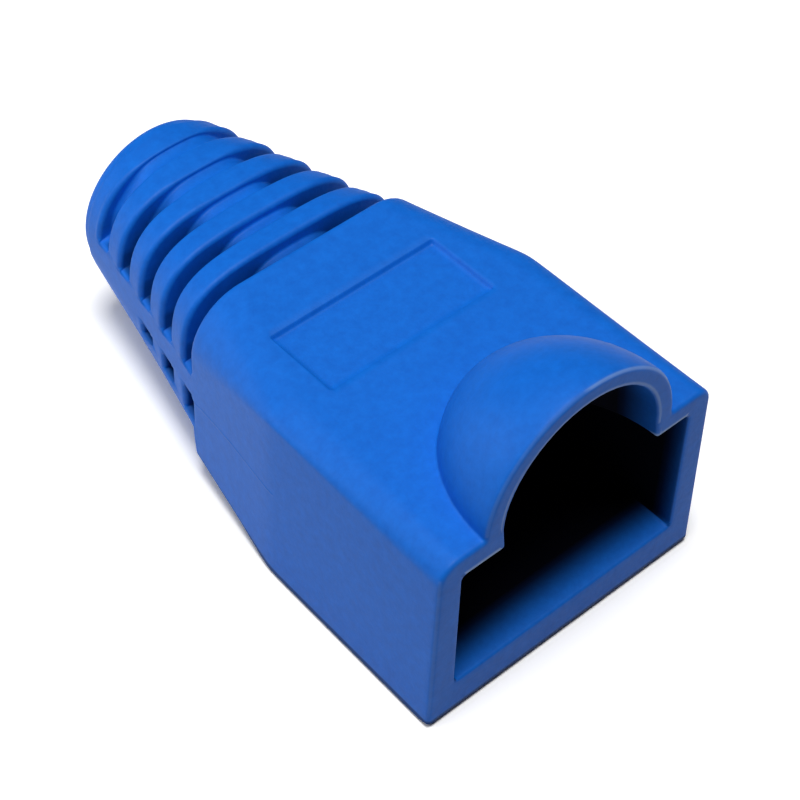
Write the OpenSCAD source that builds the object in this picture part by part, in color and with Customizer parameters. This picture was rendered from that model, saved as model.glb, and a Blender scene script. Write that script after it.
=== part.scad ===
// Strain relief boot for an RJ45 network plug, one soft moulding.
// A box shaped sleeve covers the back of the plug, a domed hood covers the plug's latch,
// a shoulder narrows the sleeve, and a ribbed tail bends with the cable.
// X is across, Y runs from the plug mouth to the cable end and Z is up, in millimetres.
// The origin is on the underside, in the middle of the boot's width and length.

/* [Plug and cable] */
// Width of the plug body that slides into the mouth
plug_w = 11.68; // [11.4:0.02:12]
// Height of the plug body without its latch
plug_h = 6.5; // [6.2:0.1:7]
// Room between the plug body and the sleeve, on each side
plug_gap = 0.12; // [0.05:0.01:0.3]
// How far the plug body goes into the sleeve
plug_depth = 9.5; // [8:0.1:10.5]
// Outer diameter of the cable
cable_d = 5.6; // [5:0.1:5.8]
// Room between the cable and the bore, on the radius
cable_gap = 0.2; // [0.1:0.05:0.3]
// Height of the cable's middle above the underside
cable_z = 5.3; // [5:0.1:5.6]

/* [Sleeve] */
// Length of the box shaped sleeve
sleeve_len = 10; // [9:0.1:12]
// Wall at the sides of the plug, at the mouth
side_wall = 1.17; // [1:0.01:1.5]
// How much of that wall is gone where the shoulder starts
side_taper = 0.2; // [0:0.01:0.4]
// How far each side leans out from the top to the underside, at the mouth
side_draft = 0.16; // [0:0.01:0.3]
// Wall over the plug, beside the hood
roof_wall = 0.97; // [0.7:0.01:1.2]
// Wall under the plug
floor_wall = 1.95; // [1.6:0.05:2.4]
// Radius of the top edges at the mouth
mouth_top_r = 1; // [0.6:0.1:1.6]
// Width of the rounding of the top edges where the shoulder starts
sleeve_round_w = 1.6; // [0.6:0.1:2]
// Height of that rounding
sleeve_round_h = 0.6; // [0.4:0.05:1.6]
// Radius of the long edges along the underside
base_edge_r = 0.45; // [0.3:0.05:0.8]
// Distance from the mouth to where the funnel behind the plug meets the cable bore
throat_end = 14.5; // [12:0.1:15.5]

/* [Hood] */
// Inner radius of the hood over the plug's latch
hood_inner_r = 4.05; // [3.6:0.05:4.2]
// Wall of the hood
hood_wall = 0.85; // [0.7:0.05:1]
// Length of the hood from the mouth to its back
hood_len = 5.95; // [5:0.1:7]

/* [Shoulder] */
// Length of the part that narrows the sleeve towards the tail
shoulder_len = 6.15; // [5:0.05:7]
// Width of the shoulder where the tail starts
shoulder_w = 11.8; // [11.6:0.1:12.6]
// How far the underside rises along the shoulder
shoulder_rise = 1.05; // [0.4:0.05:1.2]
// Radius of the top edges where the shoulder ends
shoulder_top_r = 2.6; // [2:0.1:3.2]

/* [Label recess] */
// Length of the recess across the boot
label_w = 8.5; // [6:0.1:9]
// Width of the recess along the boot
label_len = 3.6; // [2:0.1:4]
// Distance from the mouth to the recess
label_start = 9.35; // [8.5:0.05:11]
// Depth of the recess
label_depth = 0.2; // [0.1:0.05:0.4]

/* [Ribbed tail] */
// Number of grooves around the tail
groove_count = 5; // [3:1:6]
// Width of a groove along the tail
groove_w = 0.7; // [0.6:0.05:1.2]
// Width of a rib between two grooves
rib_w = 1.25; // [0.7:0.05:1.4]
// Length of the plain collar at the cable end
collar_len = 1.75; // [1.2:0.05:3]
// Wall of the collar around the cable bore
collar_wall = 0.85; // [0.7:0.05:1]
// Wall left around the cable bore under the grooves
core_wall = 0.4; // [0.3:0.05:0.5]
// Width of the first rib, beside the shoulder
rib_start_w = 11.7; // [11:0.1:12]
// Height of the first rib, beside the shoulder
rib_start_h = 8.9; // [8.8:0.1:9.4]
// How square the first rib is, where 2 is an oval and more is closer to a box
rib_squareness = 3.8; // [2:0.1:5]
// How square the lower half of the first rib is
rib_squareness_low = 5.4; // [2:0.1:6]
// How quickly the ribs lose width, where 1 is an even taper
taper_side = 1.15; // [1:0.05:1.5]
// How quickly the ribs lose height, where 1 is an even taper
taper_top = 2.2; // [1:0.1:3]
// Half the width of the flat spine that joins the ribs above and below
spine_half_w = 1.5; // [1:0.1:2]
// Wall of the spine over the cable bore
spine_wall = 0.75; // [0.65:0.05:0.8]
// Slope of the spine's flanks, in degrees
spine_slope = 45; // [35:1:50]
// Height of the web that joins the ribs at each side
web_h = 1.4; // [0.8:0.1:2]
// Number of grooves, counted from the shoulder, that also open a window below the web
window_count = 3; // [0:1:6]
// Height of the first window, beside the shoulder
window_h = 1.4; // [1.2:0.1:1.8]
// How much lower each next window is
window_step = 0.4; // [0.2:0.05:0.45]
// Radius of the rounded end of the collar
collar_edge_r = 0.6; // [0.3:0.05:0.65]

/* [Hidden] */
$fn = 96;
// Facets in each rounded corner of a section
corner_steps = 8;
// Stations along the ribbed tail
tail_steps = 14;
// Facets in the rounded end of the collar
edge_steps = 4;
// Points in a quarter of the hood's outline
hood_steps = 24;
// Length by which a cut runs past a face
over = 1;
// Thickness of the slices that a funnel joins
seam = 0.1;
// How late the squared ribs turn into the round collar
corner_ease = 1.6;
// The same for their lower half
corner_ease_low = 0.9;
// Points around a rib
rib_points = 48;

cavity_w = plug_w + 2 * plug_gap;
cavity_h = plug_h + 2 * plug_gap;
cavity_top = floor_wall + cavity_h;
mouth_w = cavity_w + 2 * side_wall;
roof_z = cavity_top + roof_wall;
bore_r = cable_d / 2 + cable_gap;
core_half_w = bore_r + core_wall;
spine_h = bore_r + spine_wall;
collar_r = bore_r + collar_wall;
hood_r = hood_inner_r + hood_wall;
hood_inner_len = hood_len - hood_wall;
tail_start = sleeve_len + shoulder_len;
pitch = rib_w + groove_w;
collar_start = tail_start + groove_count * pitch - rib_w;
boot_len = collar_start + collar_len;
tail_len = boot_len - tail_start;

// One quarter of an oval with half axes w and h about [x, z], starting at angle a
function corner(x, z, w, h, a) =
    [for (i = [0 : corner_steps])
        let (t = a + 90 * i / corner_steps) [x + w * cos(t), z + h * sin(t)]];

// Section of the body at distance y: half width a, underside z, and top edges rounded by w and h
function body_section(y, a, z, w, h) =
    let (r = base_edge_r, foot = a + side_draft * (1 - y / tail_start) - r)
    [y, concat(
        corner(a - w, roof_z - h, w, h, 0),
        corner(w - a, roof_z - h, w, h, 90),
        corner(-foot, z + r, r, r, 180),
        corner(foot, z + r, r, r, 270)
    )];

// Closed curve between an oval and a box, with half axes a and b and squareness above and below
function squared_oval(a, b, above, below) =
    [for (i = [0 : rib_points - 1])
        let (t = 360 * i / rib_points, n = sin(t) < 0 ? below : above)
        [a * sign(cos(t)) * pow(abs(cos(t)), 2 / n), cable_z + b * sign(sin(t)) * pow(abs(sin(t)), 2 / n)]];

// Section of the ribs at distance y, made smaller all round by inset at the rounded end
function tail_section(y, inset) =
    let (
        s = min(1, (y - tail_start) / tail_len),
        a = collar_r + (rib_start_w / 2 - collar_r) * pow(1 - s, taper_side) - inset,
        h = collar_r + (rib_start_h / 2 - collar_r) * pow(1 - s, taper_top) - inset,
        above = rib_squareness + (2 - rib_squareness) * pow(s, corner_ease),
        below = rib_squareness_low + (2 - rib_squareness_low) * pow(s, corner_ease_low)
    )
    [y, squared_oval(a, h, above, below)];

// Solid that joins a list of [distance, outline] sections along Y
module loft(sections) {
    n = len(sections[0][1]);
    last = len(sections) - 1;
    points = [for (s = sections) for (p = s[1]) [p.x, s[0], p.y]];
    sides = [for (k = [0 : last - 1]) for (i = [0 : n - 1])
        let (j = (i + 1) % n)
        each [[k * n + i, k * n + j, (k + 1) * n + j], [k * n + i, (k + 1) * n + j, (k + 1) * n + i]]];
    front = [for (i = [n - 1 : -1 : 0]) i];
    back = [for (i = [0 : n - 1]) last * n + i];
    polyhedron(points = points, faces = concat([front], sides, [back]));
}

// Bar of radius r on the cable's axis, from distance y over a length len
module axis_bar(r, y, len) {
    translate([0, y, cable_z])
        rotate([-90, 0, 0])
            cylinder(r = r, h = len);
}

// Quarter of an oval with half width r, from the mouth to its closed back at distance len
function quarter_oval(r, len) =
    [for (i = [0 : hood_steps]) let (t = 90 * i / hood_steps) [r * cos(t), len * sin(t)]];

// Dome turned about the Y axis at the roof
module dome(r, len) {
    translate([0, 0, roof_z])
        rotate([-90, 0, 0])
            rotate_extrude()
                polygon(concat([[0, 0]], quarter_oval(r, len)));
}

// Opening in the roof that joins the hollow of the hood to the plug cavity
module latch_slot() {
    right = quarter_oval(hood_inner_r, hood_inner_len);
    left = [for (i = [hood_steps - 1 : -1 : 0]) [-right[i].x, right[i].y]];
    sides = [[-hood_inner_r, -over], [hood_inner_r, -over]];
    translate([0, 0, cavity_top - over])
        linear_extrude(height = roof_wall + over)
            polygon(concat(right, left, sides));
}

// Sleeve and shoulder without their hollows
module body_solid() {
    loft([
        body_section(0, mouth_w / 2, 0, mouth_top_r, mouth_top_r),
        body_section(sleeve_len, mouth_w / 2 - side_taper, 0, sleeve_round_w, sleeve_round_h),
        body_section(tail_start, shoulder_w / 2, shoulder_rise, shoulder_top_r, shoulder_top_r)
    ]);
}

// Envelope of the ribs and the collar
module tail_solid() {
    plain_end = boot_len - collar_edge_r;
    tapers = [for (i = [0 : tail_steps])
        tail_section(tail_start + (plain_end - tail_start) * i / tail_steps, 0)];
    rounding = [for (i = [1 : edge_steps])
        let (t = 90 * i / edge_steps)
        tail_section(plain_end + collar_edge_r * sin(t), collar_edge_r * (1 - cos(t)))];
    loft(concat(tapers, rounding));
}

// Half of the section left between two ribs: a flat spine, its flank and the side of the core
function core_outline() =
    let (knee = spine_h - (core_half_w - spine_half_w) * tan(spine_slope))
    [[core_half_w, knee], [spine_half_w, spine_h], [-spine_half_w, spine_h], [-core_half_w, knee]];

// Bar with that section above and below the cable's axis
module core_bar() {
    upper = core_outline();
    lower = [for (p = upper) -p];
    translate([0, boot_len, cable_z])
        rotate([90, 0, 0])
            linear_extrude(height = tail_len + over)
                polygon(concat(upper, lower));
}

// One groove's cut, all round the tail
module groove(y) {
    translate([-mouth_w, y, cable_z - mouth_w])
        cube([2 * mouth_w, groove_w, 2 * mouth_w]);
}

// What stays below groove i: everything under its window, or under the web's middle without one
module solid_below(i) {
    top = i < window_count ? cable_z - web_h / 2 - window_h + i * window_step : cable_z;
    translate([-mouth_w, tail_start + i * pitch - seam, top - mouth_w])
        cube([2 * mouth_w, groove_w + 2 * seam, mouth_w]);
}

// What stays between two ribs: the tube around the bore, the spine, the side webs and the underside
module groove_floor() {
    core_bar();
    for (i = [0 : groove_count - 1]) solid_below(i);
    translate([-mouth_w, tail_start - over, cable_z - web_h / 2])
        cube([2 * mouth_w, tail_len + over, web_h]);
}

// Hollow that takes the plug
module plug_cavity() {
    translate([-cavity_w / 2, -over, floor_wall])
        cube([cavity_w, plug_depth + over, cavity_h]);
}

// Funnel from the back of the plug cavity to the cable bore
module throat() {
    hull() {
        translate([-cavity_w / 2, plug_depth - seam, floor_wall])
            cube([cavity_w, seam, cavity_h]);
        axis_bar(bore_r, throat_end - seam, seam);
    }
}

// Shallow rectangle for a label, in the top of the boot
module label_recess() {
    translate([-label_w / 2, label_start, roof_z - label_depth])
        cube([label_w, label_len, label_depth + over]);
}

// The whole moulding
module boot() {
    color("royalblue")
        translate([0, -boot_len / 2, 0])
            difference() {
                union() {
                    body_solid();
                    difference() {
                        tail_solid();
                        difference() {
                            for (i = [0 : groove_count - 1]) groove(tail_start + i * pitch);
                            groove_floor();
                        }
                    }
                    dome(hood_r, hood_len);
                }
                plug_cavity();
                throat();
                label_recess();
                latch_slot();
                dome(hood_inner_r, hood_inner_len);
                axis_bar(bore_r, 0, boot_len + over);
            }
}

boot();
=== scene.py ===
import math

import bmesh
import bpy
import numpy as np
from mathutils import Matrix, Vector


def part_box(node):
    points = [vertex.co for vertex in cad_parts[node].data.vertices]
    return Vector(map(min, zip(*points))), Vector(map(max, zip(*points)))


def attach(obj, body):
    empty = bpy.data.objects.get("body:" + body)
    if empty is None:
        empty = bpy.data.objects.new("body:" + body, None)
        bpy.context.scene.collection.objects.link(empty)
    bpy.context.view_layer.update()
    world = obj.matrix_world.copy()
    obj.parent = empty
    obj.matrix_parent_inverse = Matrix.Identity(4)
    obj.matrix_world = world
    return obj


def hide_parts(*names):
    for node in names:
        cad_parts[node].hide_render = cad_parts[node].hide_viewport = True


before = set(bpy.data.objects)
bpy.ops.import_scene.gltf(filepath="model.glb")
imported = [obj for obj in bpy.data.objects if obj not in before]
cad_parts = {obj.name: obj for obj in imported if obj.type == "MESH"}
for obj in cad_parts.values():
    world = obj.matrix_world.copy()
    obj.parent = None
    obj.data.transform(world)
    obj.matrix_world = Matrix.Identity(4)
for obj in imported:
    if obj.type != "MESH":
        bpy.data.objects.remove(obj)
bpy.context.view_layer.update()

# The finished surface of a strain relief boot, which is one soft moulding.
# It is one closed grid: the columns run round the boot, and the rows run from the mouth over the
# sleeve, the shoulder and the ribbed tail to the cable end, and back inside to the mouth.
# Sizes are in millimetres, with y counted from the mouth, until the mesh is made.

MM = 0.001
LOW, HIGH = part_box("boot")
BOOT_LEN = (HIGH.y - LOW.y) / MM
HOOD_TOP = HIGH.z / MM

# Sleeve and shoulder
MOUTH_HALF_W = 7.13
KINK_Y = 10.0
KINK_SOFT = 0.35
TAIL_START = 16.15
SIDE_TAPER = 0.2
SIDE_DRAFT = 0.16
SHOULDER_HALF_W = 5.9
SHOULDER_RISE = 1.05
ROOF_Z = 9.66
MOUTH_ROUND = 1.0
KINK_ROUND_W = 1.6
KINK_ROUND_H = 0.6
SHOULDER_ROUND = 2.6
BASE_EDGE = 0.2
REAR_BASE_EDGE = 0.45

# Hood over the plug's latch
HOOD_R = HOOD_TOP - ROOF_Z
HOOD_LEN = 5.95
HOOD_WALL = 0.85
HOOD_FILLET = 0.1
FILLET_REACH = 2.0

# The two sides differ a little, as on any soft part: -1 is the left one, seen from the mouth
TOP_CORNER_SHARE = {1: 0.8, -1: 1.0}
ARCH_SHARE = {1: 1.0, -1: 0.975}
LEDGE_REACH = {1: 4.15, -1: 3.83}
LEDGE_DROP = {1: 0.0, -1: 0.2}
LEDGE_DROP_LEN = 4.5

# Hollows
CABLE_Z = 5.3
BORE_R = 3.0
CAVITY_HALF_W = 5.96
CAVITY_FLOOR = 1.95
CAVITY_TOP = 8.69
CAVITY_CORNER = 0.25
LEDGE_CORNER = 0.15
CAVITY_DEPTH = 9.5
THROAT_END = 14.5

# Painted shade: the vinyl's blue is painted darker where shade falls. In the hollow it starts this far
# from the mouth, sooner on the side walls and this near them, and deepens over a length. In the grooves
# it starts this deep under the ribs, on top and beside the web, and deepens over a fade. Along the foot
# it is a painted contact shadow up to a line. The bore's last stretch and the collar's front wall stay
# light
DARK_START = 0.1
WALL_DARK_START = -0.8
WALL_REACH = 0.1
DARK_LEN = 1.8
LIGHT_END = 1.0
LIGHT_WALL = 0.15
GROOVE_DARK = 0.5
GROOVE_DARK_DEPTH = 0.32
GROOVE_DARK_FADE = 0.7
WEB_DARK = 0.75
WEB_DARK_DEPTH = 0.05
WEB_DARK_FADE = 0.3
WEB_SPREAD = 0.8
FOOT_DARK = 0.7
FOOT_START = 0.01
FOOT_LINE = 0.36
FOOT_FADE = 0.12

# Painted highlights: pale lines painted on the thin edges round the mouth where light catches them:
# their strengths, and where they lie and how wide they are as shares of the rounding's radius
ARCH_PALE = 0.5
LEDGE_PALE = 0.95
CORNER_PALE = 0.12
HOOD_PALE = {1: 0.45, -1: 0.12}
LIP_LINE_AT = 0.85
LIP_LINE_HALF_W = 0.65
RIM_LINE_HALF_W = 0.75
# Where the lines end. The ledge's line runs from beside the slot to short of the wall, on points this
# near the ledge's height. The hood's and the corners' lines stop short of the roof and the foot
LEDGE_LINE_FROM = 4.0
LEDGE_LINE_GAP = 0.15
LEDGE_LINE_NEAR = 0.3
HOOD_LINE_GAP = 0.2
CORNER_LINE_GAP = 0.6

# Width of the grain from the spark-eroded tool. The real grain is a few hundredths of a millimetre wide
# and too fine to show, so it is drawn as coarse as it needs to show
GRAIN = 0.16
# Width of the clouds in the pigment
CLOUD = 0.5
# Colours: the two blues that the vinyl's clouds mix, its painted edge highlight and its painted shade
CLOUD_BLUE = "#0363CC"
CLEAR_BLUE = "#0872E1"
PAINTED_HIGHLIGHT_BLUE = "#A9C8F2"
PAINTED_SHADE_BLUE = "#0A0B16"

# Label recess
LABEL_HALF_W = 4.25
LABEL_START = 9.35
LABEL_END = 12.95
LABEL_DEPTH = 0.2
LABEL_EDGE = 0.08

# Ribbed tail
GROOVES = 5
GROOVE_W = 0.7
PITCH = 1.95
RIB_HALF_W = 5.85
RIB_HALF_H = 4.46
COLLAR_R = 3.85
SQUARENESS = 3.8
SQUARENESS_LOW = 5.4
CORNER_EASE = 1.6
CORNER_EASE_LOW = 0.9
TAPER_SIDE = 1.15
TAPER_TOP = 2.2
CORE_HALF_W = 3.4
CORE_JOIN = 14.0
SPINE_HALF_W = 1.5
SPINE_H = 3.75
WEB_HALF_H = 0.7
WEB_JOIN = 9.0
RIB_JOIN = 30.0
WINDOWS = 3
WINDOW_H = 1.4
WINDOW_STEP = 0.4
WINDOW_EDGE = 0.014

# Parting line on the left side
PARTING_START = 9.7
PARTING_LEN = 6.2
PARTING_Z = 5.08
PARTING_DROP = 0.6
PARTING_HALF_W = 0.09

# Roundings of edges
MOUTH_EDGE = 0.2
LIP_EDGE = 0.14
REAR_EDGE = 0.25
RIB_EDGE = 0.22
GROOVE_FILLET = 0.12
COLLAR_EDGE = 0.6
FRONT_LIFT = 0.22
FRONT_LIFT_LEN = 0.7
BORE_EDGE = 0.2

# Columns in each stretch of the half outline, from the middle of the underside to the middle of the top
COLUMNS = {
    "underside": 10,
    "base_corner": 10,
    "side_low": 12,
    "web": 10,
    "side_high": 12,
    "top_corner": 14,
    "roof": 8,
    "label_edge": 4,
    "label": 12,
    "hood": 26,
}
# Columns of the tail inside "side_low" and "side_high": up to the window's edge, over that edge, and
# over each wall of the web
TO_WINDOW = 2
WINDOW_COLUMNS = 4
WALL_COLUMNS = 5
# The label's column runs out beside the hood, reaches the label this far ahead of it, keeps this far
# from the roof's edge, and goes in again behind the label
BESIDE_HOOD = 0.45
COLUMN_LEAD = 0.5
COLUMN_GAP = 0.1
BEHIND_LABEL = 0.6

# Columns of the ledge's edge and of the arch's low side, inside "hood"
LEDGE_COLUMNS = 6
SLOT_COLUMNS = 6

# Rows in each stretch, from the mouth's edge over the outside and back inside to the mouth's face
ROWS = {
    "hood": 46,
    "roof": 18,
    "label_edge": 4,
    "label": 14,
    "behind": 10,
    "rib": 3,
    "collar": 8,
    "collar_end": 8,
    "bore_edge": 4,
    "bore": 10,
    "funnel": 8,
    "cavity": 8,
    "arch": 26,
    "lip": 4,
    "face": 5,
}
# Rows over any other rounded edge, and over the fillet at a groove's floor
EDGE_ROWS = 5
FLOOR_ROWS = 3

# Rounds of each search for the angle at which a curve has a given height, and for the hood's fillet
ROUNDS = 12
FILLET_ROUNDS = 8
# Points closer than this become one, and points this near a surface count as on it
MERGE = 0.0015
NEAR = 0.02

# Camera: from the left of the mouth and from above, with angles in degrees and the aim in the frame
CAMERA_AZIMUTH = -43.57
CAMERA_ELEVATION = 47.88
CAMERA_ROLL = 2.41
CAMERA_DISTANCE = 96.43
CAMERA_AIM = (-0.38, -3.61, 6.05)
CAMERA_LENS = 108.0

# Board that the boot stands on, and the place that the lamps shine at
FLOOR_HALF_W = 1500.0
LAMP_AIM = (0.0, 0.0, 5.0)


def smooth_step(t):
    """0 below 0, 1 above 1, and 3t^2 - 2t^3 between."""
    t = np.clip(t, 0.0, 1.0)
    return t * t * (3.0 - 2.0 * t)


def bend(y, corner, softness):
    """0 before the corner and y - corner after it, with the corner rounded as a hyperbola."""
    d = y - corner
    return 0.5 * (d + np.sqrt(d * d + softness * softness))


def graded(count, low=1.0, high=1.0):
    """Fractions from 0 to 1 whose first step is low times, and last step high times, a middle step."""
    t = (np.arange(count) + 0.5) / count
    steps = low ** ((1.0 - t) ** 4) * high ** (t ** 4)
    return np.concatenate([[0.0], np.cumsum(steps) / steps.sum()])


def between(start, end, fractions):
    """Points on straight lines from start to end; start and end are (rows, 1, 2)."""
    f = fractions[None, 1:, None]
    return start * (1.0 - f) + end * f


def arc(centre, half_w, half_h, start, stop, fractions):
    """Points on an oval about centre, from one angle to another, in degrees."""
    a = np.radians(start + (stop - start) * fractions[None, 1:])
    return centre + np.stack([half_w * np.cos(a), half_h * np.sin(a)], axis=-1)


def point(x, z):
    """One (x, z) point for each row, as (rows, 1, 2)."""
    x, z = np.broadcast_arrays(x, z)
    return np.stack([x, z], axis=-1).reshape(-1, 1, 2)


def half_width(y):
    """Half the sleeve's width at the top: a slight taper to the kink, and a stronger one after it."""
    first = SIDE_TAPER / KINK_Y
    second = (MOUTH_HALF_W - SIDE_TAPER - SHOULDER_HALF_W) / (TAIL_START - KINK_Y)
    return MOUTH_HALF_W - first * y - (second - first) * bend(y, KINK_Y, KINK_SOFT)


def changing(y, mouth, kink, rear):
    """A size that goes straight from its value at the mouth to the kink, and straight on to the rear."""
    first = (kink - mouth) / KINK_Y
    second = (rear - kink) / (TAIL_START - KINK_Y)
    return mouth + first * y + (second - first) * bend(y, KINK_Y, KINK_SOFT)


def oval_reach(y, length, radius):
    """Half width of an oval of that radius and length at distance y, and 0 behind its end."""
    return radius * np.sqrt(np.clip(1.0 - (y / length) ** 2, 0.0, None))


def half_loop(start, stretches):
    """Joins the first point and the stretches of a half outline into (rows, columns, 2)."""
    return np.concatenate([start] + stretches, axis=1)


def body_outline(y, side):
    """Half of the sleeve's and shoulder's section at each distance y, on one side.

    Flat underside, small round base corner that grows along the shoulder, straight side, oval top
    corner, flat roof, and above it the hood's circle, whose radius falls as the quarter of an oval
    from the mouth to the hood's end.
    """
    y = np.asarray(y, float)
    a = half_width(y)
    foot = a + SIDE_DRAFT * (1.0 - y / TAIL_START)
    low = SHOULDER_RISE / (TAIL_START - KINK_Y) * bend(y, KINK_Y, KINK_SOFT)
    low = low + FRONT_LIFT * np.clip(1.0 - y / FRONT_LIFT_LEN, 0.0, 1.0) ** 2
    share = TOP_CORNER_SHARE[side]
    w = share * changing(y, MOUTH_ROUND, KINK_ROUND_W, SHOULDER_ROUND)
    h = share * changing(y, MOUTH_ROUND, KINK_ROUND_H, SHOULDER_ROUND)
    crease = oval_reach(y, HOOD_LEN, HOOD_R)
    base = BASE_EDGE + (REAR_BASE_EDGE - BASE_EDGE) * smooth_step((y - KINK_Y) / (LABEL_END - KINK_Y))
    side_low = point(foot, low + base)
    side_high = point(a, ROOF_Z - h)

    def on_side(z):
        f = ((z - side_low[..., 1]) / (side_high[..., 1] - side_low[..., 1]))[..., None]
        return side_low * (1.0 - f) + side_high * f

    flat_w = a - w
    behind_hood = smooth_step((y - HOOD_LEN) / (LABEL_START - HOOD_LEN - COLUMN_LEAD))
    beside_hood = crease + BESIDE_HOOD * (flat_w - crease)
    at_label = np.minimum(LABEL_HALF_W, flat_w - COLUMN_GAP)
    past_label = y - LABEL_END - COLUMN_GAP
    behind_label = smooth_step(past_label / (TAIL_START - REAR_EDGE - LABEL_END - COLUMN_GAP))
    at_label = at_label * (1.0 - behind_label) + BEHIND_LABEL * flat_w * behind_label
    label = beside_hood * (1.0 - behind_hood) + at_label * behind_hood
    z = np.full_like(y, ROOF_Z)
    n = COLUMNS
    return half_loop(point(0.0 * y, low), [
        between(point(0.0 * y, low), point(foot - base, low), graded(n["underside"])),
        arc(point(foot - base, low + base), base[:, None], base[:, None], -90, 0,
            graded(n["base_corner"])),
        between(side_low, on_side(CABLE_Z - WEB_HALF_H), side_low_fractions()),
        between(on_side(CABLE_Z - WEB_HALF_H), on_side(CABLE_Z + WEB_HALF_H), graded(n["web"])),
        between(on_side(CABLE_Z + WEB_HALF_H), side_high, graded(n["side_high"], high=0.4)),
        arc(point(flat_w, ROOF_Z - h), w[:, None], h[:, None], 0, 90, graded(n["top_corner"])),
        between(point(flat_w, z), point(label + LABEL_EDGE, z), graded(n["roof"], low=0.5, high=0.5)),
        between(point(label + LABEL_EDGE, z), point(label - LABEL_EDGE, z), graded(n["label_edge"])),
        between(point(label - LABEL_EDGE, z), point(crease, z), graded(n["label"], low=0.15, high=0.08)),
        arc(point(0.0 * y, z), crease[:, None], crease[:, None], 0, 90, graded(n["hood"], low=0.06)),
    ])


def union_distance(p):
    """Signed distance to the roof's plane joined with the hood's oval by a fillet.

    With a and b as the two distances, it is max(r, min(a, b)) - |(max(r - a, 0), max(r - b, 0))|,
    where r is the fillet's radius.
    """
    axes = np.array([HOOD_R, HOOD_LEN, HOOD_R])
    q = (p - [0.0, 0.0, ROOF_Z]) / axes
    size = np.linalg.norm(q, axis=-1)
    hood = size * (size - 1.0) / np.maximum(np.linalg.norm(q / axes, axis=-1), 1e-9)
    roof = p[..., 2] - ROOF_Z
    inside = np.hypot(np.maximum(HOOD_FILLET - roof, 0.0), np.maximum(HOOD_FILLET - hood, 0.0))
    return np.maximum(HOOD_FILLET, np.minimum(roof, hood)) - inside


def fillet_hood(p):
    """Moves points of the roof and hood down the slope of union_distance until it is 0."""
    h = 0.0001
    for _ in range(FILLET_ROUNDS):
        d = union_distance(p)
        slope = np.stack(
            [(union_distance(p + h * e) - union_distance(p - h * e)) / (2.0 * h) for e in np.eye(3)],
            axis=-1,
        )
        p = p - d[..., None] * slope / np.maximum((slope ** 2).sum(-1, keepdims=True), 1e-6)
    return p


def sink_label(p):
    """Lowers the roof inside the label's rectangle, with walls as smooth steps."""
    across = smooth_step((LABEL_HALF_W + LABEL_EDGE - np.abs(p[..., 0])) / (2.0 * LABEL_EDGE))
    along = smooth_step((p[..., 1] - LABEL_START + LABEL_EDGE) / (2.0 * LABEL_EDGE))
    along = along * smooth_step((LABEL_END + LABEL_EDGE - p[..., 1]) / (2.0 * LABEL_EDGE))
    p = p.copy()
    p[..., 2] -= np.where(p[..., 2] > CABLE_Z, LABEL_DEPTH * across * along, 0.0)
    return p


def squared_radius(angle, y):
    """Distance from the cable's axis to a rib's surface: (|cos/a|^n + |sin/b|^n)^(-1/n).

    a, b and n fall along the tail from the first rib's half width, half height and squareness to
    the round collar. The lower half is squarer than the upper one.
    """
    s = np.clip((y - TAIL_START) / (BOOT_LEN - TAIL_START), 0.0, 1.0)
    a = COLLAR_R + (RIB_HALF_W - COLLAR_R) * (1.0 - s) ** TAPER_SIDE
    b = COLLAR_R + (RIB_HALF_H - COLLAR_R) * (1.0 - s) ** TAPER_TOP
    above = SQUARENESS + (2.0 - SQUARENESS) * s ** CORNER_EASE
    below = SQUARENESS_LOW + (2.0 - SQUARENESS_LOW) * s ** CORNER_EASE_LOW
    n = np.where(np.sin(angle) < 0.0, below, above)
    return (np.abs(np.cos(angle) / a) ** n + np.abs(np.sin(angle) / b) ** n) ** (-1.0 / n)


def core_radius(angle):
    """Distance from the axis to the eight-sided core: its side, its spine's flat and its flank.

    The three distances are joined as the power mean (a^-p + b^-p + c^-p)^(-1/p), which rounds
    the core's corners.
    """
    c = np.maximum(np.abs(np.cos(angle)), 1e-9)
    s = np.maximum(np.abs(np.sin(angle)), 1e-9)
    flank = (SPINE_HALF_W + SPINE_H) / (c + s)
    p = CORE_JOIN
    return ((c / CORE_HALF_W) ** p + (s / SPINE_H) ** p + flank ** -p) ** (-1.0 / p)


def window_edge(y):
    """Angle below the side at which the window under the web ends, in radians.

    Its height falls by WINDOW_STEP from groove to groove, and the last grooves have no window.
    """
    y = np.asarray(y, float).reshape(-1, 1)
    step = (y - TAIL_START) / PITCH
    drop = WEB_HALF_H + WINDOW_H - WINDOW_STEP * step
    edge = np.full_like(y, 0.3)
    for _ in range(ROUNDS):
        edge = np.arcsin(np.clip(drop / squared_radius(-edge, y), 0.0, 1.0))
    return np.where(step < WINDOWS - 0.5, edge, 0.5 * WEB_HALF_H / RIB_HALF_W)


def floor_radius(angle, y):
    """Distance from the axis to a groove's floor: the core, or the side web where that stands higher.

    The web is joined to the core, and to the rib's surface outside, with power means too. Below its
    window the groove is filled up to the rib's surface.
    """
    web = WEB_HALF_H / np.maximum(np.abs(np.sin(angle)), 1e-3)
    joined = (core_radius(angle) ** WEB_JOIN + web ** WEB_JOIN) ** (1.0 / WEB_JOIN)
    rib = squared_radius(angle, y)
    floor = np.minimum((joined ** -RIB_JOIN + rib ** -RIB_JOIN) ** (-1.0 / RIB_JOIN), rib)
    filled = smooth_step((WINDOW_EDGE - angle - window_edge(y)) / (2.0 * WINDOW_EDGE))
    return floor + (rib - floor) * filled


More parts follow.
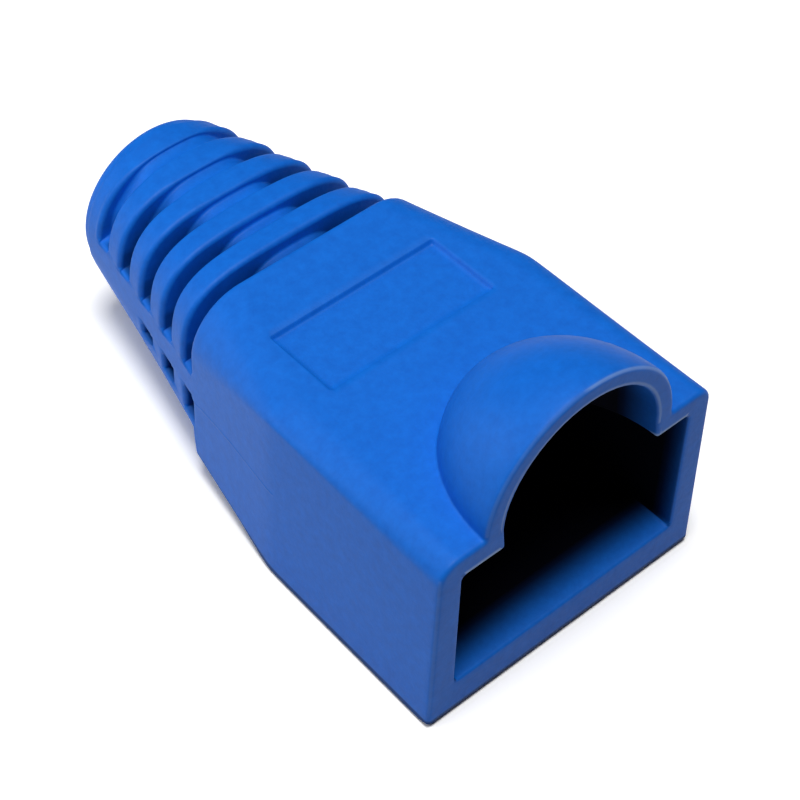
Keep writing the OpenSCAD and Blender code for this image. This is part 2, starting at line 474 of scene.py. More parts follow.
def floor_outline(y):
    """Half outline of a groove's floor at distance y, as (columns, 2).

    The bottom of the window is level: its columns lie on a straight line from the rib's surface in
    to the core's flank at the same height.
    """
    angle = tail_angles([y])
    floor = on_axis(angle, floor_radius(angle, y))[0]
    edge = window_edge(y)
    if edge[0, 0] < WEB_HALF_H / RIB_HALF_W:
        return floor
    first = COLUMNS["underside"] + COLUMNS["base_corner"] + TO_WINDOW
    last = first + WINDOW_COLUMNS + 1
    rim = on_axis(-edge, squared_radius(-edge, y))[0, 0]
    drop = CABLE_Z - rim[1]
    core = np.array([min(CORE_HALF_W, SPINE_HALF_W + SPINE_H - drop), rim[1]])
    share = smooth_step(np.linspace(0.0, 1.0, WINDOW_COLUMNS + 1))[:, None]
    floor[first:last] = floor[first] * (1.0 - share) + (core + floor[first] - rim) * share
    return floor


def tail_angles(y):
    """Angles of the tail's half outline at each distance y, in radians, as (rows, columns).

    The lowest columns have the angles of the shoulder's flat underside and base corner.
    """
    y = np.asarray(y, float)[:, None]
    spine = np.arctan2(SPINE_H, SPINE_HALF_W) * np.ones_like(y)
    flank = np.arctan2(SPINE_HALF_W + SPINE_H - CORE_HALF_W, CORE_HALF_W) * np.ones_like(y)
    web_in = np.arctan2(WEB_HALF_H, CORE_HALF_W) * np.ones_like(y)
    web_out = 0.12 * np.ones_like(y)
    for _ in range(ROUNDS):
        web_out = np.arcsin(np.clip(WEB_HALF_H / squared_radius(web_out, y), 0.0, 1.0))
    web_out = np.minimum(web_out, web_in - 0.004)
    edge = np.maximum(window_edge(y), web_in + 3.0 * WINDOW_EDGE)
    top = np.full_like(y, math.pi / 2.0)
    n = COLUMNS

    def run(start, end, fractions):
        return start + (end - start) * fractions[None, 1:]

    flat_w = SHOULDER_HALF_W - REAR_BASE_EDGE
    drop = CABLE_Z - SHOULDER_RISE
    under = -np.arctan2(drop, flat_w * graded(n["underside"])[1:]) * np.ones_like(y)
    turn = 0.5 * math.pi * graded(n["base_corner"])[1:]
    corner = -np.arctan2(drop - REAR_BASE_EDGE * (1.0 - np.cos(turn)),
                         flat_w + REAR_BASE_EDGE * np.sin(turn))
    corner = corner * np.ones_like(y)
    roof_part = (top - spine) / 3.0
    parts = [
        -top,
        under,
        corner,
        run(corner[:, -1:], -edge - WINDOW_EDGE, graded(TO_WINDOW)),
        run(-edge - WINDOW_EDGE, -edge + WINDOW_EDGE, graded(WINDOW_COLUMNS)),
        run(-edge + WINDOW_EDGE, -web_in,
            graded(n["side_low"] - WALL_COLUMNS - WINDOW_COLUMNS - TO_WINDOW)),
        run(-web_in, -web_out, graded(WALL_COLUMNS)),
        run(-web_out, web_out, graded(n["web"], low=0.4, high=0.4)),
        run(web_out, web_in, graded(WALL_COLUMNS)),
        run(web_in, flank, graded(n["side_high"] - WALL_COLUMNS, low=0.4, high=0.5)),
        run(flank, spine, graded(n["top_corner"], low=0.5, high=0.5)),
        run(spine, spine + roof_part, graded(n["roof"], low=0.5)),
        run(spine + roof_part, spine + 1.1 * roof_part, graded(n["label_edge"])),
        run(spine + 1.1 * roof_part, top, graded(n["label"])),
        run(top, top, graded(n["hood"])),
    ]
    return np.concatenate(parts, axis=1)


def side_low_fractions():
    """Heights of the side's low columns, as fractions, where the shoulder meets the tail's columns."""
    first = COLUMNS["underside"] + COLUMNS["base_corner"]
    height = np.tan(tail_angles([TAIL_START])[0, first:first + COLUMNS["side_low"] + 1])
    return (height - height[0]) / (height[-1] - height[0])


def on_axis(angle, radius):
    """(x, z) points at that angle and distance from the cable's axis."""
    return np.stack([radius * np.cos(angle), CABLE_Z + radius * np.sin(angle)], axis=-1)


def rows_at(outline, y):
    """Makes (rows, columns, 3) points from (rows, columns, 2) outlines and a distance for each."""
    y = np.broadcast_to(np.asarray(y, float).reshape(len(outline), -1), outline.shape[:2])
    return np.stack([outline[..., 0], y, outline[..., 1]], axis=-1)


def edge_rows(top, floor, y, way, edge, fillet):
    """A groove's wall at distance y, from the round edge of the surface above down to its floor.

    Its rows go down from top to floor along the straight line between them: a quarter circle of
    radius edge, a flat wall and a quarter circle of radius fillet. way is 1 where the groove
    lies behind the wall and -1 where it lies in front.
    """
    down = floor - top
    depth = np.linalg.norm(down, axis=-1)
    down = down / np.maximum(depth, 1e-9)[..., None]
    edge = np.minimum(edge, 0.5 * depth)
    fillet = np.minimum(fillet, 0.4 * depth)
    rows = []
    for a in np.linspace(0.0, math.pi / 2.0, EDGE_ROWS + 1):
        rows.append((edge * (1.0 - math.cos(a)), y - way * edge * (1.0 - math.sin(a))))
    for a in np.linspace(0.0, math.pi / 2.0, FLOOR_ROWS + 1):
        rows.append((depth - fillet * (1.0 - math.sin(a)), y + way * fillet * (1.0 - math.cos(a))))
    points = [np.concatenate([top + down * d[:, None], 0.0 * d[:, None]], axis=-1) for d, _ in rows]
    for p, (_, at) in zip(points, rows):
        p[:, 2] = at
    return np.stack(points)[..., [0, 2, 1]]


def outward(outline):
    """Unit normals of a half outline in its own plane, to the right of its direction of travel."""
    along = np.gradient(outline, axis=0)
    along[0] = [1.0, 0.0]
    along[-1] = [-1.0, 0.0]
    moving = np.linalg.norm(along, axis=-1) > 1e-6
    last_moving = np.maximum.accumulate(np.where(moving, np.arange(len(along)), 0))
    along = along[last_moving]
    in_middle = np.abs(outline[:, 0]) < 1e-6
    along[in_middle, 0] = np.sign(along[in_middle, 0])
    along[in_middle, 1] = 0.0
    normal = np.stack([along[:, 1], -along[:, 0]], axis=-1)
    return normal / np.maximum(np.linalg.norm(normal, axis=-1, keepdims=True), 1e-9)


def round_over(outline, side, y, way, radius, steps=EDGE_ROWS):
    """Rows of a quarter circle that turns an outline's surface into the flat face at distance y.

    side is -1 for an outer edge and 1 for the edge of a hollow, and way is 1 where the solid lies
    behind the face. The first row is the one on the face.
    """
    inward = side * outward(outline)
    rows = []
    for a in np.linspace(math.pi / 2.0, 0.0, steps + 1):
        p = outline + inward * radius * (1.0 - math.cos(a))
        at = y + way * radius * (1.0 - math.sin(a))
        rows.append(rows_at(p[None], np.reshape(at, (1, -1))))
    return np.concatenate(rows)


def body_rows():
    """Distances of the rows over the sleeve and shoulder, close together where the form turns."""
    first = math.asin(MOUTH_EDGE / HOOD_LEN)
    hood = HOOD_LEN * np.sin(first + (math.pi / 2.0 - first) * graded(ROWS["hood"]))
    to_label = LABEL_START - LABEL_EDGE
    label_in = LABEL_START + LABEL_EDGE
    label_out = LABEL_END - LABEL_EDGE
    behind = LABEL_END + LABEL_EDGE
    return np.concatenate([
        hood,
        HOOD_LEN + (to_label - HOOD_LEN) * graded(ROWS["roof"], low=0.08)[1:],
        to_label + (label_in - to_label) * graded(ROWS["label_edge"])[1:],
        label_in + (label_out - label_in) * graded(ROWS["label"], low=0.6, high=0.3)[1:],
        label_out + (behind - label_out) * graded(ROWS["label_edge"])[1:],
        behind + (TAIL_START - REAR_EDGE - behind) * graded(ROWS["behind"], high=0.3)[1:],
    ])


def shoulder_end(ahead, body, floor):
    """The shoulder's round rear edge, its flat rear face and the fillet at the first groove's floor.

    ahead is the outline where the rounding may start, so that the rounding keeps the taper.
    """
    axis = np.array([0.0, CABLE_Z])
    stand = np.linalg.norm(body - axis, axis=-1, keepdims=True)
    depth = stand - np.linalg.norm(floor - axis, axis=-1, keepdims=True)
    radius = np.clip(0.5 * depth, 0.0, REAR_EDGE)
    rounded = round_over(body, -1, TAIL_START, -1, radius)[::-1]
    rounded[..., [0, 2]] += (ahead - body) * (TAIL_START - rounded[..., 1:2]) / REAR_EDGE
    on_face = rounded[-1][:, [0, 2]]
    foot = edge_rows(on_face, floor, TAIL_START, 1, 0.0, GROOVE_FILLET)[EDGE_ROWS + 1:]
    return np.concatenate([rounded, foot])


def sleeve_and_shoulder(side):
    """The outer skin from the mouth's edge to the shoulder's rear edge."""
    y = body_rows()
    p = rows_at(body_outline(y, side), y)
    roof = COLUMNS["roof"] + COLUMNS["label_edge"] + COLUMNS["label"] + COLUMNS["hood"]
    near = np.flatnonzero(y < HOOD_LEN + FILLET_REACH)[:, None]
    on_top = np.arange(p.shape[1] - roof - 1, p.shape[1])
    p[near, on_top] = fillet_hood(p[near, on_top])
    p[:, -1, 0] = 0.0
    return sink_label(p)


def rib_outline(y):
    """Half outline of a rib at distance y, as (columns, 2)."""
    angle = tail_angles([y])
    return on_axis(angle, squared_radius(angle, y))[0]


def tail(side):
    """The ribs, grooves and collar, from the shoulder's rear edge to the end of the collar's side."""
    blocks = []
    y = TAIL_START
    ahead, above = body_outline(np.array([y - REAR_EDGE, y]), side)
    for k in range(GROOVES):
        if k == 0:
            blocks.append(shoulder_end(ahead, above, floor_outline(y)))
        else:
            blocks.append(edge_rows(rib_outline(y), floor_outline(y), y, 1, RIB_EDGE, GROOVE_FILLET))
        far = y + GROOVE_W
        wall = edge_rows(rib_outline(far), floor_outline(far), far, -1, RIB_EDGE, GROOVE_FILLET)
        blocks.append(wall[::-1])
        y += PITCH
        at_collar = k == GROOVES - 1
        last = BOOT_LEN - COLLAR_EDGE if at_collar else y - RIB_EDGE
        first = far + RIB_EDGE
        steps = ROWS["collar"] if at_collar else ROWS["rib"]
        at = first + (last - first) * np.linspace(0.0, 1.0, steps + 1)[1:-1]
        angles = tail_angles(at)
        blocks.append(rows_at(on_axis(angles, squared_radius(angles, at[:, None])), at))
    return np.concatenate(blocks)


def cable_end():
    """The collar's round end, its flat ring and the edge of the cable bore."""
    angle = tail_angles([BOOT_LEN])
    collar = on_axis(angle, COLLAR_R)[0]
    bore = on_axis(angle, BORE_R)[0]
    radial = np.stack([np.cos(angle), np.sin(angle)], axis=-1)[0]
    rows = []
    for a in np.linspace(0.0, math.pi / 2.0, ROWS["collar_end"] + 1):
        ring = collar - radial * COLLAR_EDGE * (1.0 - math.cos(a))
        rows.append(rows_at(ring[None], [BOOT_LEN - COLLAR_EDGE * (1.0 - math.sin(a))]))
    for a in np.linspace(math.pi / 2.0, 0.0, ROWS["bore_edge"] + 1):
        ring = bore + radial * BORE_EDGE * (1.0 - math.cos(a))
        rows.append(rows_at(ring[None], [BOOT_LEN - BORE_EDGE * (1.0 - math.sin(a))]))
    return np.concatenate(rows)


def cavity_outline(y, side):
    """Half of the hollow's section: a box with round corners, and above it the latch's arch.

    The arch's height falls as the quarter of an oval from the mouth to its back, and the ledge
    beside it ends in a round lip.
    """
    y = np.asarray(y, float)
    c = CAVITY_CORNER
    arch = oval_reach(y, HOOD_LEN - HOOD_WALL, HOOD_R - HOOD_WALL)
    arch_w = arch * ARCH_SHARE[side]
    slot = arch * LEDGE_REACH[side] / (HOOD_R - HOOD_WALL)
    low = np.full_like(y, CAVITY_FLOOR)
    top = CAVITY_TOP - LEDGE_DROP[side] * (1.0 - smooth_step(y / LEDGE_DROP_LEN))
    wide = np.full_like(y, CAVITY_HALF_W)
    edge = np.minimum(LEDGE_CORNER, 0.3 * arch)
    ledge = slot + edge + 0.3 * (wide - c - slot - edge)
    by_slot = ledge * 0.9 + (slot + edge) * 0.1
    n = COLUMNS
    lift = (ROOF_Z - top) * smooth_step(arch / 0.8)
    web_low = point(wide, np.full_like(y, CABLE_Z - WEB_HALF_H))
    web_high = point(wide, np.full_like(y, CABLE_Z + WEB_HALF_H))
    return half_loop(point(0.0 * y, low), [
        between(point(0.0 * y, low), point(wide - c, low), graded(n["underside"])),
        arc(point(wide - c, low + c), c, c, -90, 0, graded(n["base_corner"])),
        between(point(wide, low + c), web_low, graded(n["side_low"])),
        between(web_low, web_high, graded(n["web"])),
        between(web_high, point(wide, top - c), graded(n["side_high"])),
        arc(point(wide - c, top - c), c, c, 0, 90, graded(n["top_corner"])),
        between(point(wide - c, top), point(ledge, top), graded(n["roof"])),
        between(point(ledge, top), point(by_slot, top), graded(n["label_edge"])),
        between(point(by_slot, top), point(slot + edge, top), graded(n["label"], high=0.3)),
        arc(point(slot + edge, top + edge), -edge[:, None], -edge[:, None], 90, 0,
            graded(LEDGE_COLUMNS)),
        between(point(slot, top + edge), point(arch_w, top + lift), graded(SLOT_COLUMNS, low=0.6)),
        arc(point(0.0 * y, top + lift), arch_w[:, None], arch[:, None], 0, 90,
            graded(n["hood"] - LEDGE_COLUMNS - SLOT_COLUMNS)),
    ])


def inside(side):
    """The bore, the funnel and the plug's cavity, from the cable end to the mouth's inner edge."""
    bore_y = BOOT_LEN - BORE_EDGE + (THROAT_END - BOOT_LEN + BORE_EDGE) * graded(ROWS["bore"])[1:]
    angle = tail_angles(bore_y)
    bore = rows_at(on_axis(angle, BORE_R), bore_y)
    steps = graded(ROWS["funnel"])[1:]
    ring = on_axis(tail_angles([THROAT_END]), BORE_R)
    back = cavity_outline([CAVITY_DEPTH], side)
    funnel = rows_at(ring * (1.0 - steps[:, None, None]) + back * steps[:, None, None],
                     THROAT_END + (CAVITY_DEPTH - THROAT_END) * steps)
    hollow_len = HOOD_LEN - HOOD_WALL
    first = math.asin(LIP_EDGE / hollow_len)
    arch_y = hollow_len * np.sin(math.pi / 2.0 + (first - math.pi / 2.0) * graded(ROWS["arch"]))
    cavity_y = np.concatenate([
        CAVITY_DEPTH + (hollow_len - CAVITY_DEPTH) * graded(ROWS["cavity"], high=0.3)[1:-1],
        arch_y,
    ])
    cavity = rows_at(cavity_outline(cavity_y, side), cavity_y)
    return np.concatenate([bore, funnel, cavity])


def mouth_face(outer, inner):
    """The mouth's flat face, with a round edge outside and a smaller one at the hollow's lip."""
    lip = round_over(inner[:, [0, 2]], 1, 0.0, 1, LIP_EDGE, steps=ROWS["lip"])[::-1][1:]
    rim = round_over(outer[:, [0, 2]], -1, 0.0, 1, MOUTH_EDGE)[:-1]
    f = graded(ROWS["face"])[1:-1, None, None]
    face = lip[-1:] * (1.0 - f) + rim[:1] * f
    return np.concatenate([lip, face, rim])


def half_grid(side):
    """All rows of one half in order, as (rows, columns, 3), whose last row meets its first."""
    skin = sleeve_and_shoulder(side)
    hollow = inside(side)
    half = [skin, tail(side), cable_end(), hollow, mouth_face(skin[0], hollow[-1])]
    return np.concatenate(half) * [side, 1.0, 1.0]


def whole_grid():
    """Both halves joined, so that the columns run once round the boot."""
    return np.concatenate([half_grid(1), half_grid(-1)[:, -2:0:-1]], axis=1)


def grid_mesh(name, grid):
    """Makes a mesh from a grid that closes on itself both ways.

    Points that coincide are merged, and the faces point outwards.
    """
    rows, columns = grid.shape[:2]
    index = np.arange(rows * columns).reshape(rows, columns)
    below = np.roll(index, -1, axis=0)
    quads = np.stack([index, np.roll(index, -1, axis=1), np.roll(below, -1, axis=1), below], axis=-1)
    mesh = bpy.data.meshes.new(name)
    mesh.from_pydata(grid.reshape(-1, 3), [], quads.reshape(-1, 4))
    work = bmesh.new()
    work.from_mesh(mesh)
    bmesh.ops.remove_doubles(work, verts=work.verts, dist=MERGE * MM)
    if work.calc_volume(signed=True) < 0.0:
        bmesh.ops.reverse_faces(work, faces=work.faces)
    for face in work.faces:
        face.smooth = True
    work.to_mesh(mesh)
    work.free()
    return mesh


def in_hollow(x, y, z):
    """Where points lie on the hollow's surface: in the plug's box, the funnel, the hood or the bore."""
    t = np.clip((y - CAVITY_DEPTH) / (THROAT_END - CAVITY_DEPTH), 0.0, 1.0)
    half_w = CAVITY_HALF_W + (BORE_R - CAVITY_HALF_W) * t + NEAR
    low = CAVITY_FLOOR + (CABLE_Z - BORE_R - CAVITY_FLOOR) * t - NEAR
    high = CAVITY_TOP + (CABLE_Z + BORE_R - CAVITY_TOP) * t + NEAR
    in_box = (np.abs(x) < half_w) & (z > low) & (z < high) & (y < THROAT_END + NEAR)
    above = np.maximum(z - ROOF_Z, 0.0)
    mid_r = HOOD_R - 0.5 * HOOD_WALL
    mid_len = HOOD_LEN - 0.5 * HOOD_WALL
    in_oval = (x / mid_r) ** 2 + (above / mid_r) ** 2 + (y / mid_len) ** 2 < 1.0
    in_bore = (np.hypot(x, z - CABLE_Z) < BORE_R + NEAR) & (y > THROAT_END)
    return in_box | (in_oval & (z > CAVITY_TOP)) | in_bore


def places(mesh):
    """x, y from the mouth, and z of the mesh's points, in millimetres."""
    p = np.empty(len(mesh.vertices) * 3)
    mesh.vertices.foreach_get("co", p)
    return (p.reshape(-1, 3) / MM - [0.0, LOW.y / MM, 0.0]).T


def store(mesh, name, values):
    """Stores one number for each point of the mesh, for its material to read."""
    mesh.attributes.new(name, "FLOAT", "POINT").data.foreach_set("value", values)


def mark_painted_shade(mesh):
    """Stores how much shade is painted into the vinyl at each point: 0 on the skin, and 1 deep in the
    hollow.

    It rises with the distance y from the mouth as a smooth step over DARK_LEN, sooner on the side
    walls, and falls to 0 at the cable end. Painted shade darkens the grooves the deeper they lie under
    the ribs, and most of all beside the web and below it. A second value is the height above the
    underside in millimetres, for the painted contact shadow along the foot. It is 1 on the underside
    itself and on the tail.
    """
    x, y, z = places(mesh)
    on_wall = (np.abs(x) > CAVITY_HALF_W - WALL_REACH) & (z < CAVITY_TOP)
    start = np.where(on_wall, WALL_DARK_START, DARK_START)
    near_end = smooth_step((BOOT_LEN - LIGHT_END - y) / DARK_LEN)
    hollow = np.where(in_hollow(x, y, z), smooth_step((y - start) / DARK_LEN) * near_end, 0.0)
    angle = np.arctan2(z - CABLE_Z, np.abs(x))
    radius = np.hypot(x, z - CABLE_Z)
    sunk = squared_radius(angle, y) - radius
    collar_wall = TAIL_START + (GROOVES - 1) * PITCH + GROOVE_W
    in_groove = (y > TAIL_START) & (y < collar_wall - LIGHT_WALL) & (radius > BORE_R + NEAR)
    at_web = 1.0 - smooth_step((np.abs(z - CABLE_Z) - 2.0 * WEB_HALF_H) / WEB_SPREAD)
    at_web = np.where(z < CABLE_Z, 1.0, at_web)
    share = GROOVE_DARK + (WEB_DARK - GROOVE_DARK) * at_web
    first = GROOVE_DARK_DEPTH + (WEB_DARK_DEPTH - GROOVE_DARK_DEPTH) * at_web
    fade = GROOVE_DARK_FADE + (WEB_DARK_FADE - GROOVE_DARK_FADE) * at_web
    groove = share * np.where(in_groove, smooth_step((sunk - first) / fade), 0.0)
    # painted shade in the hollow and the grooves
    store(mesh, "dark", np.maximum(hollow, groove))
    # height for the painted contact shadow along the foot
    height = z - SHOULDER_RISE / (TAIL_START - KINK_Y) * bend(y, KINK_Y, KINK_SOFT)
    above_foot = (height > FOOT_START) & (y < TAIL_START)
    store(mesh, "height", np.where(above_foot, height, 1.0))


def mark_painted_highlights(mesh):
    """Stores where highlights are painted on the thin edges round the mouth, from 0 to 1.

    On the hollow's lip the pale line lies near where its rounding meets the mouth's face, and on the
    outer edges it lies in the middle of their rounding. It fades to both sides as a smooth step.
    """
    x, y, z = places(mesh)
    left = x < 0.0
    radius = np.hypot(x, z - ROOF_Z)
    on_lip = y < LIP_EDGE + NEAR
    on_rim = y < MOUTH_EDGE + NEAR

    def lip_line(offset, where):
        away = np.abs(offset / LIP_EDGE - LIP_LINE_AT) / LIP_LINE_HALF_W
        return np.where(where, smooth_step(1.0 - away), 0.0)

    def rim_line(offset, where):
        away = np.abs(offset - y) / (RIM_LINE_HALF_W * MOUTH_EDGE)
        return np.where(where, smooth_step(1.0 - away), 0.0)

    arch = lip_line(radius - HOOD_R + HOOD_WALL, on_lip & (z > ROOF_Z))
    drop = np.where(left, LEDGE_DROP[-1], LEDGE_DROP[1])
    on_ledge = (np.abs(x) > LEDGE_LINE_FROM) & (np.abs(x) < CAVITY_HALF_W - LEDGE_LINE_GAP)
    on_ledge = on_ledge & (np.abs(z - CAVITY_TOP) < LEDGE_LINE_NEAR)
    ledge = lip_line(z - CAVITY_TOP + drop, on_lip & on_ledge)
    hood = rim_line(HOOD_R - radius, on_rim & (z > ROOF_Z + HOOD_LINE_GAP))
    hood = hood * np.where(left, HOOD_PALE[-1], HOOD_PALE[1])
    side_x = MOUTH_HALF_W + SIDE_DRAFT * (1.0 - z / ROOF_Z)
    on_side = (z > CORNER_LINE_GAP) & (z < ROOF_Z - CORNER_LINE_GAP)
    corner = rim_line(side_x - np.abs(x), on_rim & on_side)
    lines = [ARCH_PALE * arch, LEDGE_PALE * ledge, hood, CORNER_PALE * corner]
    # painted highlights on the mouth's edges
    store(mesh, "pale", np.stack(lines).max(axis=0))


def make_boot():
    """The boot's whole surface as one object, in place of the plain solid."""
    grid = (whole_grid() + [0.0, LOW.y / MM, 0.0]) * MM
    boot = bpy.data.objects.new("boot_moulding", grid_mesh("boot_moulding", grid))
    mark_painted_shade(boot.data)
    mark_painted_highlights(boot.data)
    bpy.context.scene.collection.objects.link(boot)
    steady = boot.modifiers.new("even_shading", "WEIGHTED_NORMAL")
    steady.weight = 50
    return boot


def linear(hex_colour):
    """Linear colour of an sRGB hex value."""
    value = [int(hex_colour[i:i + 2], 16) / 255.0 for i in (1, 3, 5)]
    return tuple(v / 12.92 if v <= 0.04045 else ((v + 0.055) / 1.055) ** 2.4 for v in value) + (1.0,)


def add(tree, kind, settings=None, **inputs):
    """Adds a shader node, with its settings and its inputs, which are values or other nodes' outputs.

    An input goes by its name, with _ for a space, or by its number after a _.
    """
    node = tree.nodes.new(kind)
    for key, value in (settings or {}).items():
        setattr(node, key, value)
    for key, value in inputs.items():
        socket = node.inputs[int(key[1:]) if key[0] == "_" else key.replace("_", " ")]
        if isinstance(value, bpy.types.NodeSocket):
            tree.links.new(value, socket)
        else:
            socket.default_value = value
    return node


def new_material(name):
    """An empty node material and its tree."""
    material = bpy.data.materials.new(name)
    material.use_nodes = True
    material.node_tree.nodes.clear()
    return material, material.node_tree


def calculate(tree, operation, *values):
    """Output of a maths node that takes those values."""
    inputs = {"_%d" % i: value for i, value in enumerate(values)}
    return add(tree, "ShaderNodeMath", {"operation": operation}, **inputs).outputs["Value"]


def parting_line(tree, place):
    """1 on the fine raised line that the mould's halves leave on the left side, and 0 beside it.

    The line lies at the height PARTING_Z - PARTING_DROP * t^3, where t goes from 0 to 1 along it.
    """
    axes = add(tree, "ShaderNodeSeparateXYZ", Vector=place).outputs
    start = PARTING_START * MM + LOW.y
    t = calculate(tree, "DIVIDE", calculate(tree, "SUBTRACT", axes["Y"], start), PARTING_LEN * MM)
    on_length = calculate(tree, "COMPARE", t, 0.5, 0.5)
    on_left = calculate(tree, "LESS_THAN", axes["X"], -0.5 * SHOULDER_HALF_W * MM)
    fall = calculate(tree, "MULTIPLY", calculate(tree, "POWER", t, 3.0), PARTING_DROP * MM)
    height = calculate(tree, "ADD", axes["Z"], fall)
    off = calculate(tree, "ABSOLUTE", calculate(tree, "SUBTRACT", height, PARTING_Z * MM))
    near = add(tree, "ShaderNodeMapRange", {"interpolation_type": "SMOOTHSTEP"}, Value=off,
               From_Min=PARTING_HALF_W * MM, From_Max=0.0).outputs["Result"]
    return calculate(tree, "MULTIPLY", near, calculate(tree, "MULTIPLY", on_length, on_left))


def moulded_soft_vinyl():
    """Blue flexible vinyl, injection moulded in a lightly spark-eroded tool.

    The tool's face gives it a satin sheen with a fine grain, and its pigment a slightly cloudy and
    speckled blue. Shade is painted into it, dark and dull, deep inside the hollow, in the grooves and
    along the foot, and highlights are painted as pale lines along the edges of the mouth.
    """
    material, tree = new_material("moulded_soft_vinyl")
    place = add(tree, "ShaderNodeTexCoord").outputs["Object"]
    grain = add(tree, "ShaderNodeTexNoise", Vector=place, Scale=1.0 / (GRAIN * MM), Detail=3.0,
                Roughness=0.6)
    cloud = add(tree, "ShaderNodeTexNoise", Vector=place, Scale=1.0 / (CLOUD * MM), Detail=3.0,
                Roughness=0.7)
    # painted shade in the hollow and grooves, joined below with the painted contact shadow along the foot
    depth = add(tree, "ShaderNodeAttribute", {"attribute_name": "dark"}).outputs["Fac"]
    height = add(tree, "ShaderNodeAttribute", {"attribute_name": "height"}).outputs["Fac"]
    foot = add(tree, "ShaderNodeMapRange", Value=height, From_Min=FOOT_LINE + FOOT_FADE,
               From_Max=FOOT_LINE, To_Max=FOOT_DARK)
    depth = calculate(tree, "MAXIMUM", depth, foot.outputs["Result"])
    speck = add(tree, "ShaderNodeMapRange", Value=cloud.outputs["Fac"], From_Min=0.2, From_Max=0.8)
    blue = add(tree, "ShaderNodeMix", {"data_type": "RGBA"}, Factor=speck.outputs["Result"],
               A=linear(CLOUD_BLUE), B=linear(CLEAR_BLUE))
    # painted highlights on the mouth's edges
    pale = add(tree, "ShaderNodeAttribute", {"attribute_name": "pale"}).outputs["Fac"]
    blue = add(tree, "ShaderNodeMix", {"data_type": "RGBA"}, Factor=pale, A=blue.outputs["Result"],
               B=linear(PAINTED_HIGHLIGHT_BLUE))
    # painted shade: deep blue mixed in where shade falls
    inner = add(tree, "ShaderNodeMix", {"data_type": "RGBA"}, Factor=depth,
                A=blue.outputs["Result"], B=linear(PAINTED_SHADE_BLUE))
    rough = add(tree, "ShaderNodeMapRange", Value=grain.outputs["Fac"], To_Min=0.5, To_Max=0.64)
    # the painted shade also dulls the sheen there
    gloss = add(tree, "ShaderNodeMapRange", Value=depth, To_Min=0.28, To_Max=0.02)
    bump = add(tree, "ShaderNodeBump", Strength=0.5, Distance=0.014 * MM,
               Height=grain.outputs["Fac"])
    bump = add(tree, "ShaderNodeBump", Strength=0.7, Distance=0.05 * MM,
               Height=parting_line(tree, place), Normal=bump.outputs["Normal"])
    shader = add(tree, "ShaderNodeBsdfPrincipled", Base_Color=inner.outputs["Result"],
                 Roughness=rough.outputs["Result"], Normal=bump.outputs["Normal"], IOR=1.48,
                 Specular_IOR_Level=gloss.outputs["Result"])
    add(tree, "ShaderNodeOutputMaterial", Surface=shader.outputs["BSDF"])
    return material


def pale_floor():
    """Matt white board under the boot, paler to the eye and in reflections than in the light it gives."""
    material, tree = new_material("pale_board")
    board = add(tree, "ShaderNodeBsdfDiffuse", Color=linear("#B8B8B8"))
    more = add(tree, "ShaderNodeBsdfDiffuse", Color=linear("#FFFEFC"))
    bright = add(tree, "ShaderNodeAddShader", _0=board.outputs["BSDF"], _1=more.outputs["BSDF"])
    path = add(tree, "ShaderNodeLightPath").outputs
    mirrored = calculate(tree, "MAXIMUM", path["Is Glossy Ray"], path["Is Transmission Ray"])
    seen = calculate(tree, "MAXIMUM", path["Is Camera Ray"], mirrored)
    shader = add(tree, "ShaderNodeMixShader", _0=seen, _1=board.outputs["BSDF"],
                 _2=bright.outputs["Shader"])
    add(tree, "ShaderNodeOutputMaterial", Surface=shader.outputs["Shader"])
    return material


def make_floor():
    """A wide flat board whose top is at the boot's underside."""
    far = FLOOR_HALF_W * MM
    corners = [(-far, -far, 0.0), (far, -far, 0.0), (far, far, 0.0), (-far, far, 0.0)]
    mesh = bpy.data.meshes.new("floor")
    mesh.from_pydata(corners, [], [(0, 1, 2, 3)])
    mesh.materials.append(pale_floor())
    floor = bpy.data.objects.new("floor", mesh)
    bpy.context.scene.collection.objects.link(floor)


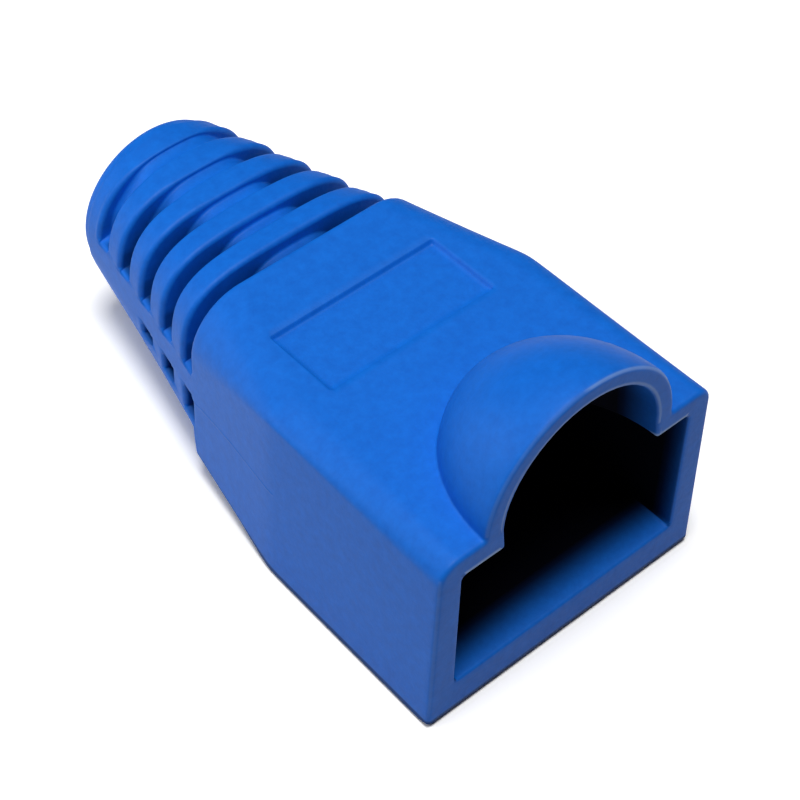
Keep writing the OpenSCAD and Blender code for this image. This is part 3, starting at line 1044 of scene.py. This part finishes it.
def aimed(location, target):
    """Matrix of a lamp at location that shines at target."""
    way = (target - location).to_track_quat("-Z", "Y")
    return Matrix.Translation(location) @ way.to_matrix().to_4x4()


def lamp(name, location, size, power):
    """A square soft box that shines at the boot and isn't seen itself, in millimetres and watts."""
    light = bpy.data.lights.new(name, "AREA")
    light.size = size * MM
    light.energy = power
    holder = bpy.data.objects.new(name, light)
    holder.matrix_world = aimed(Vector(location) * MM, Vector(LAMP_AIM) * MM)
    holder.visible_camera = False
    bpy.context.scene.collection.objects.link(holder)


def make_lights():
    """A soft box overhead, a small one close by on the left of the tail, and a dim room around."""
    lamp("overhead", (-25.0, -35.0, 360.0), 150.0, 1.06)
    lamp("side", (-60.0, 50.0, 45.0), 40.0, 0.024)
    world = bpy.data.worlds.new("room")
    bpy.context.scene.world = world
    world.use_nodes = True
    tree = world.node_tree
    tree.nodes.clear()
    room = add(tree, "ShaderNodeBackground", Color=linear("#FFFFFF"), Strength=0.04)
    add(tree, "ShaderNodeOutputWorld", Surface=room.outputs["Background"])


def make_camera():
    """A camera on a sphere about its aim, turned about its own axis by the roll."""
    a, e, r = (math.radians(v) for v in (CAMERA_AZIMUTH, CAMERA_ELEVATION, CAMERA_ROLL))
    back = Vector((math.sin(a) * math.cos(e), -math.cos(a) * math.cos(e), math.sin(e)))
    level = Vector((math.cos(a), math.sin(a), 0.0))
    upright = back.cross(level)
    right = math.cos(r) * level + math.sin(r) * upright
    up = math.cos(r) * upright - math.sin(r) * level
    place = (Vector(CAMERA_AIM) + back * CAMERA_DISTANCE) * MM
    data = bpy.data.cameras.new("camera")
    data.lens = CAMERA_LENS
    data.clip_start = 0.001
    camera = bpy.data.objects.new("camera", data)
    camera.matrix_world = Matrix.Translation(place) @ Matrix((right, up, back)).transposed().to_4x4()
    bpy.context.scene.collection.objects.link(camera)
    bpy.context.scene.camera = camera


boot = make_boot()
boot.data.materials.append(moulded_soft_vinyl())
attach(boot, "root")
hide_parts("boot")
make_floor()
make_lights()
make_camera()
bpy.context.scene.view_settings.view_transform = "Standard"
